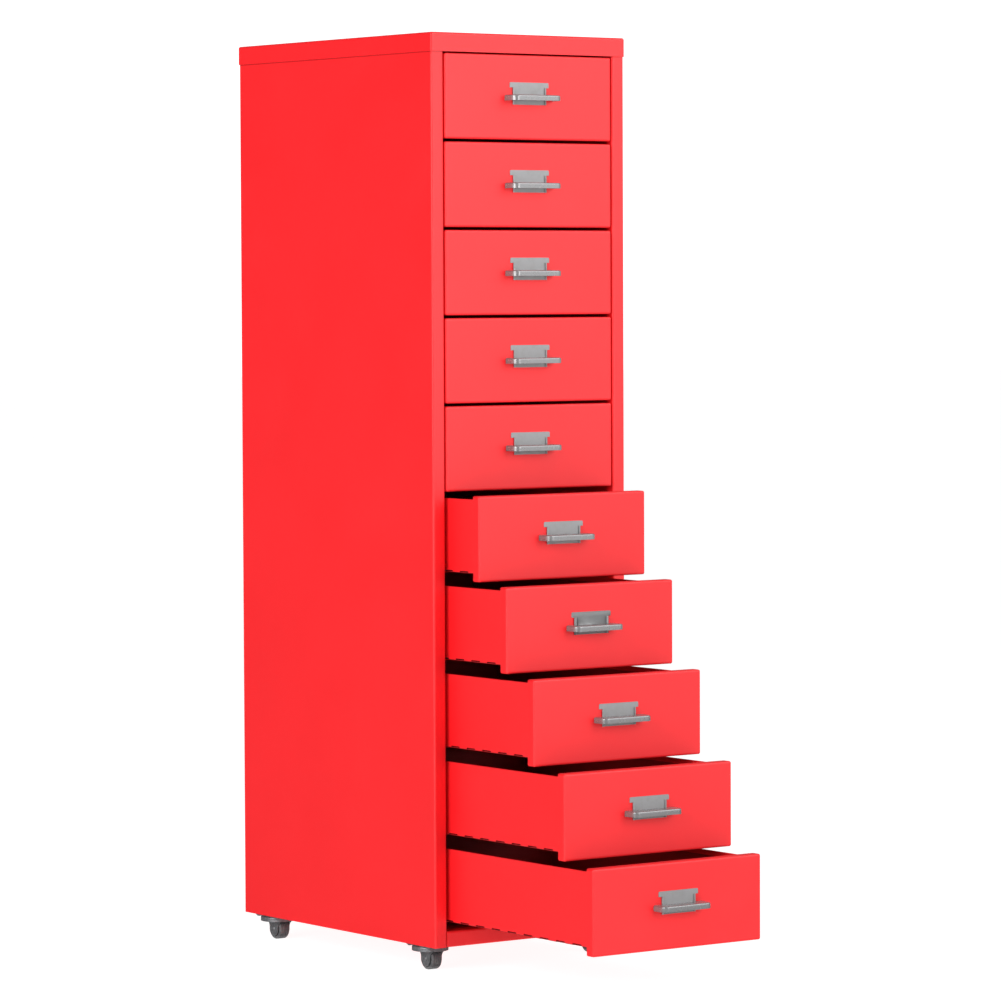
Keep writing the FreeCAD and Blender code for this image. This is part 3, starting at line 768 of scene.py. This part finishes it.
# %% Label holders
HOLDER_TOP, HOLDER_FOOT, SHOULDER = 32.0 * MM, 58.0 * MM, 38.0 * MM
HOLDER_HALF, EAR_HALF, HOLDER_DEPTH, HOLDER_LIP = 24.0 * MM, 28.0 * MM, 2.2 * MM, 2.2 * MM


def holder_skin(face_y, top):
    """A T-shaped plate with rounded ears, two J-shaped channels and a shelf for the card."""
    turn = np.linspace(0.0, np.pi / 2, 5)
    bend, inner = 1.5 * MM, HOLDER_HALF - 2.5 * MM
    ear = np.stack([EAR_HALF - bend * (1 - np.sin(turn)),
                    -HOLDER_TOP - bend * (1 - np.cos(turn))], -1)
    right = np.concatenate([ear, [(EAR_HALF, -SHOULDER), (inner, -SHOULDER),
                                  (inner, -HOLDER_FOOT)]])
    outline = np.concatenate([right[::-1], right * (-1.0, 1.0)])
    shape = Shape()
    shape.add_plate(np.stack([outline[:, 0], np.full(len(outline), -SHEET), outline[:, 1]], -1))
    corners = [(inner, 0.0), (HOLDER_HALF, 0.0), (HOLDER_HALF, -HOLDER_DEPTH),
               (HOLDER_HALF - HOLDER_LIP, -HOLDER_DEPTH)]
    section, wear_and_shadow = fold_path(corners, 1.0 * MM, 5, 0.15 * MM)
    heights = np.array([-HOLDER_FOOT, -SHOULDER])
    for side in (-1, 1):
        channel = carry(section, heights, lambda u, v, w: (side * u, v, w))
        shape.add_grid(channel if side > 0 else channel[::-1], wear_and_shadow)
    shelf = np.array([(-1, 0), (1, 0), (1, 1), (-1, 1)])
    shelf = shelf * (inner + 1.2 * MM, -HOLDER_DEPTH + 1.0 * MM)
    shape.add_plate(np.concatenate([shelf, np.full((4, 1), -HOLDER_FOOT)], -1))
    shape.points = [points + (0.0, face_y, top) for points in shape.points]
    return shape


for drawer in DRAWERS:
    low, high = node_box(f"{drawer}_front")
    holder = holder_skin(low[1], high[2])
    holder = holder.build(f"{drawer}_label_plate", nickel_plate, SHEET, CUT_EDGE)
    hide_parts(f"{drawer}_label_holder")
    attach(holder, drawer)
print("label holders", len(DRAWERS))

# %% [markdown]
# ## Casters
# A small swivel caster is a pressed crown with two legs bent down from it, a riveted axle and a
# moulded wheel. The round parts are profiles turned about an axis, and each leg is a flat outline
# that flares into the crown on two concave quarter circles.

# %% Caster forks
CROWN, CROWN_FOOT, CROWN_TOP, CROWN_SHEET = 21.5 * MM, 22.5 * MM, 28.2 * MM, 1.4 * MM
LEG_OUTER, LEG_SHEET, LEG_END, TRAIL, WHEEL = 8.9 * MM, 1.5 * MM, 8.8 * MM, 2.5 * MM, 12.5 * MM


def crown_skin(x, y):
    """The crown: an upright rim, a quarter circle over and a flat ring with a pressed race."""
    turn = np.linspace(0.0, np.pi / 2, 7)
    press = np.linspace(0.0, np.pi, 9)
    round_over = 1.6 * MM
    radius = np.concatenate([[CROWN, CROWN], CROWN - round_over * (1 - np.cos(turn)),
                             [CROWN - round_over - 0.5 * MM], 12.0 * MM + 2.0 * MM * np.cos(press),
                             [3.1 * MM]])
    height = np.concatenate([[CROWN_FOOT, CROWN_TOP - round_over - 0.3 * MM],
                             CROWN_TOP - round_over * (1 - np.sin(turn)), [CROWN_TOP],
                             CROWN_TOP - 0.35 * MM * np.sin(press), [CROWN_TOP]])
    profile = np.stack([radius, height], -1)
    shape = Shape()
    shape.add_grid(turned_profile(profile, (x, y, 0.0), (0, 0, 1)), closed=True)
    return shape


def leg_outline(y):
    """Corners (y, z) of a leg, going round: crown line, flare, straight, half circle and back."""
    wide = np.sqrt(CROWN ** 2 - LEG_OUTER ** 2) - 0.2 * MM
    flare = wide - TRAIL - LEG_END
    turn = np.linspace(0.0, np.pi / 2, 9)
    left, right = -TRAIL - LEG_END, -TRAIL + LEG_END
    under = np.linspace(np.pi, 2 * np.pi, 19)
    outline = np.concatenate([
        [(-wide, CROWN_TOP - 0.9 * MM), (-wide, CROWN_FOOT)],
        np.stack([left - flare * (1 - np.sin(turn)), CROWN_FOOT - flare * (1 - np.cos(turn))], -1),
        np.stack([-TRAIL + LEG_END * np.cos(under), WHEEL + LEG_END * np.sin(under)], -1),
        np.stack([right + flare * (1 - np.cos(turn)), CROWN_FOOT - flare * (1 - np.sin(turn))], -1),
        [(wide, CROWN_FOOT), (wide, CROWN_TOP - 0.9 * MM)]])
    return outline + (y, 0.0)


def axle_rivet(x, y):
    """The axle: a pin with a domed head at both ends, turned about the wheel's axis."""
    head, pin, outside, rise = 3.4 * MM, 2.0 * MM, LEG_OUTER, 1.2 * MM
    turn = np.linspace(0.0, np.pi / 2, 6)
    dome = np.stack([head - 1.2 * MM * (1 - np.cos(turn)), outside + rise * np.sin(turn)], -1)
    half = np.concatenate([[(pin, 0.0), (pin, outside), (head, outside)], dome[1:]])
    profile = np.concatenate([half[:0:-1] * (1.0, -1.0), half])
    shape = Shape()
    grid = turned_profile(profile, (x, y - TRAIL, WHEEL), (1, 0, 0), 32)
    shape.add_grid(grid, closed=True, caps=(0, -1))
    return shape


for caster in CASTERS:
    low, high = node_box(f"caster_{caster}_fork")
    x, y = (low[0] + high[0]) / 2, high[1] - CROWN
    crown = crown_skin(x, y).build(f"caster_{caster}_crown", zinc, CROWN_SHEET, PLATED_EDGE)
    legs = Shape()
    outline = leg_outline(y)
    for side in (-1, 1):
        points = np.concatenate([np.full((len(outline), 1), x + side * LEG_OUTER), outline], -1)
        legs.add_plate(points if side > 0 else points[::-1])
    legs = legs.build(f"caster_{caster}_legs", zinc, LEG_SHEET, LEG_EDGE)
    axle = axle_rivet(x, y).build(f"caster_{caster}_axle", zinc)
    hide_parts(f"caster_{caster}_fork")
    for piece in (crown, legs, axle):
        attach(piece, f"{caster}_swivel")
print("forks", len(CASTERS))

# %% [markdown]
# ## Wheels
# The wheel is one closed profile turned about its axle: a tread with four fine grooves, rounded
# shoulders, a dished face on each side and the bore.

# %% Caster wheels
def wheel_profile():
    """Half of the wheel's section as (radius, offset along the axle), mirrored to make it whole."""
    half, bore, groove, deep = 7.0 * MM, 2.05 * MM, 0.45 * MM, 0.5 * MM
    turn = np.linspace(0.0, np.pi / 2, 7)
    shoulder = 2.0 * MM
    tread = [(WHEEL, 0.0)]
    for middle in (1.3 * MM, 3.9 * MM):
        tread += [(WHEEL, middle - groove), (WHEEL - deep, middle - groove * 0.7),
                  (WHEEL - deep, middle + groove * 0.7), (WHEEL, middle + groove)]
    round_off = np.stack([WHEEL - shoulder * (1 - np.cos(turn)),
                          half - shoulder * (1 - np.sin(turn))], -1)
    dish = [(9.4 * MM, half), (9.1 * MM, half - 1.4 * MM), (4.7 * MM, half - 1.4 * MM),
            (4.4 * MM, half), (bore + 0.2 * MM, half), (bore, half - 0.2 * MM)]
    upper = np.concatenate([tread, round_off, dish])
    lower = upper[::-1] * (1.0, -1.0)
    return np.concatenate([lower[:-1], upper, lower[:1]])


for caster in CASTERS:
    low, high = node_box(f"caster_{caster}_wheel")
    middle = (low + high) / 2
    shape = Shape()
    shape.add_grid(turned_profile(wheel_profile(), middle, (1, 0, 0), 64), closed=True)
    wheel = shape.build(f"caster_{caster}_tyre", wheel_grey, smooth=35.0)
    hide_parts(f"caster_{caster}_wheel")
    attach(wheel, f"{caster}_wheel")
print("wheels", len(CASTERS))

# %% [markdown]
# ## Parts kept from the CAD model
# Runners, cross channels, caster plates, screws and rivets are right as they are. They only get
# their real finish.

# %% Finishes on CAD parts
KEPT = {"runners_left": red, "runners_right": red, "caster_channels": red,
        "caster_top_plates": zinc, "caster_screws": zinc, "carcass_rivets": zinc}
for node, material in KEPT.items():
    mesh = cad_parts[node].data
    mesh.materials.clear()
    mesh.materials.append(material)
print("kept", ", ".join(KEPT))

# %% [markdown]
# ## Floor
# The chest stands on white paper. A pale diffuse sheet would catch a red shadow from the enamel
# and turn grey towards the horizon, so the paper is mid grey and glows, as on a light table. It
# stays white from every side, and only a faint shadow is left under the casters.

# %% Floor
def pale_floor(flow):
    """White seamless paper with a hardly visible grain, glowing like a light table."""
    where = flow.node("ShaderNodeTexCoord", output="Object")
    grain = flow.noise(where, 40.0, 3.0)
    return {"Base Color": (grain * 0.5).mixed((0.34, 0.34, 0.34, 1), (0.32, 0.32, 0.32, 1)),
            "Roughness": 0.9, "Specular IOR Level": 0.1,
            "Emission Color": (1, 1, 1, 1), "Emission Strength": 0.92}


def panel(name, corners, material):
    """One flat stage piece through its corners."""
    shape = Shape()
    shape.add_plate(np.array(corners, float))
    piece = shape.build(name, material)
    return piece


panel("paper_floor", [(-30, -30, 0), (30, -30, 0), (30, 30, 0), (-30, 30, 0)],
      finish("white_paper", pale_floor))
print("floor 60 m wide")

# %% [markdown]
# ## Cards that show only in reflections
# In a studio, black cards stand where gloss would mirror something bright, and white cards
# where it should shine. Here a black card lies round the chest, others stand to its left and
# behind the camera, and a white one stands high on the right. They are hidden from everything
# but reflections, so they shape the gloss without shading or lighting the scene.

# %% Cards
def white_card_glow(flow):
    """White that brightens with height, for a soft slope of gloss over the fronts."""
    where = flow.node("ShaderNodeTexCoord", output="Object")
    height = flow.node("ShaderNodeSeparateXYZ", None, {"Vector": where}, output="Z")
    return {"Base Color": (0, 0, 0, 1), "Emission Color": height.step(0.9, 2.7).mixed(
        (0.32, 0.32, 0.32, 1), (1.0, 1.0, 1.0, 1)), "Emission Strength": 3.5}


black = finish("black_card", lambda flow: {"Base Color": (0.02, 0.02, 0.02, 1), "Roughness": 0.9})
white = finish("white_card", white_card_glow)
cards = [
    panel("card_lying", [(-6, -6, 0.004), (6, -6, 0.004), (6, 6, 0.004), (-6, 6, 0.004)], black),
    panel("card_standing", [(-2.6, 0.2, 0), (-0.5, 3.2, 0), (-0.5, 3.2, 3), (-2.6, 0.2, 3)], black),
    panel("card_at_camera",
          [(-4.2, -4.1, 0.2), (-2.6, -5.3, 0.2), (-2.6, -5.3, 1.9), (-4.2, -4.1, 1.9)], black),
    panel("card_white",
          [(0.9, -4.0, 0.02), (4.4, -1.8, 0.02), (4.4, -1.8, 4.4), (0.9, -4.0, 4.4)], white)]
for card in cards:
    card.visible_camera = card.visible_diffuse = card.visible_shadow = False
    card.visible_transmission = card.visible_volume_scatter = False
print("cards", len(cards))

# %% [markdown]
# ## Light
# One large soft box stands to the left for the side, one to the right and in front for the fronts,
# and a weak one overhead keeps the top from going dark. Soft boxes are used and not a sun, because
# painted sheet shows the shape of a light. The room around is brighter to the right than to the
# left, so that the side keeps its deep red, and white only where the camera sees it directly.

# %% Light
scene = bpy.context.scene
scene.view_settings.view_transform = "Standard"
scene.view_settings.look = "None"
scene.world = bpy.data.worlds.new("studio")
scene.world.use_nodes = True
tree = scene.world.node_tree
tree.nodes.clear()
flow = Flow(tree)
ROOM_BRIGHT, ROOM_DIM = 0.34, 0.16
toward = flow.node("ShaderNodeTexCoord", output="Generated")
axis_x = flow.node("ShaderNodeSeparateXYZ", None, {"Vector": toward}, output="X")
axis_y = flow.node("ShaderNodeSeparateXYZ", None, {"Vector": toward}, output="Y")
right_side = (axis_x * 0.8 - axis_y * 0.35).step(-0.25, 0.55)
room = ROOM_DIM + right_side * (ROOM_BRIGHT - ROOM_DIM)
seen = flow.node("ShaderNodeLightPath", output="Is Camera Ray")
strength = room + seen * (1.2 - room)
glow = flow.node("ShaderNodeBackground", None, {"Color": (1, 1, 1, 1), "Strength": strength})
tree.links.new(glow.socket, tree.nodes.new("ShaderNodeOutputWorld").inputs["Surface"])


def soft_light(name, place, aim, size, power):
    """A square area light of the given size and power in watts, aimed at a point."""
    lamp = bpy.data.lights.new(name, "AREA")
    lamp.shape, lamp.size, lamp.energy = "SQUARE", size, power
    holder = bpy.data.objects.new(name, lamp)
    holder.location = place
    holder.rotation_euler = (Vector(aim) - Vector(place)).to_track_quat("-Z", "Y").to_euler()
    bpy.context.collection.objects.link(holder)


soft_light("left_box", (-4.6, -1.6, 1.9), (0, 0, 0.6), 3.0, 185.0)
soft_light("right_box", (1.2, -5.0, 2.0), (0, 0, 0.5), 3.0, 150.0)
soft_light("overhead", (0.2, -0.8, 3.6), (0, -0.2, 0.4), 1.6, 14.0)
print("lights 3, room", ROOM_DIM, "to", ROOM_BRIGHT)

# %% [markdown]
# ## Camera
# A long lens stands well back and a little below the top of the chest, so its uprights stay nearly
# parallel. The turn is given as three angles, yaw, dip and tilt, and built up as three axes at
# right angles, because aiming at a point would leave no way to set the slight tilt.

# %% Camera
EYE = Vector((-3.241473, -4.479958, 0.799463))
YAW, DIP, TILT = 0.6259, 0.0461, -0.004
forward = Vector((np.sin(YAW) * np.cos(DIP), np.cos(YAW) * np.cos(DIP), -np.sin(DIP)))
level = Vector((np.cos(YAW), -np.sin(YAW), 0.0))
upward = level.cross(forward)
across = np.cos(TILT) * level + np.sin(TILT) * upward
upward = -np.sin(TILT) * level + np.cos(TILT) * upward
lens = bpy.data.cameras.new("camera")
lens.lens, lens.sensor_width = 168.5, 36.0
lens.clip_end = 200.0
camera = bpy.data.objects.new("camera", lens)
bpy.context.collection.objects.link(camera)
turn = Matrix((across, upward, -forward)).transposed().to_4x4()
camera.matrix_world = Matrix.Translation(EYE) @ turn
scene.camera = camera
print("camera", tuple(round(value, 3) for value in EYE), "lens", lens.lens)
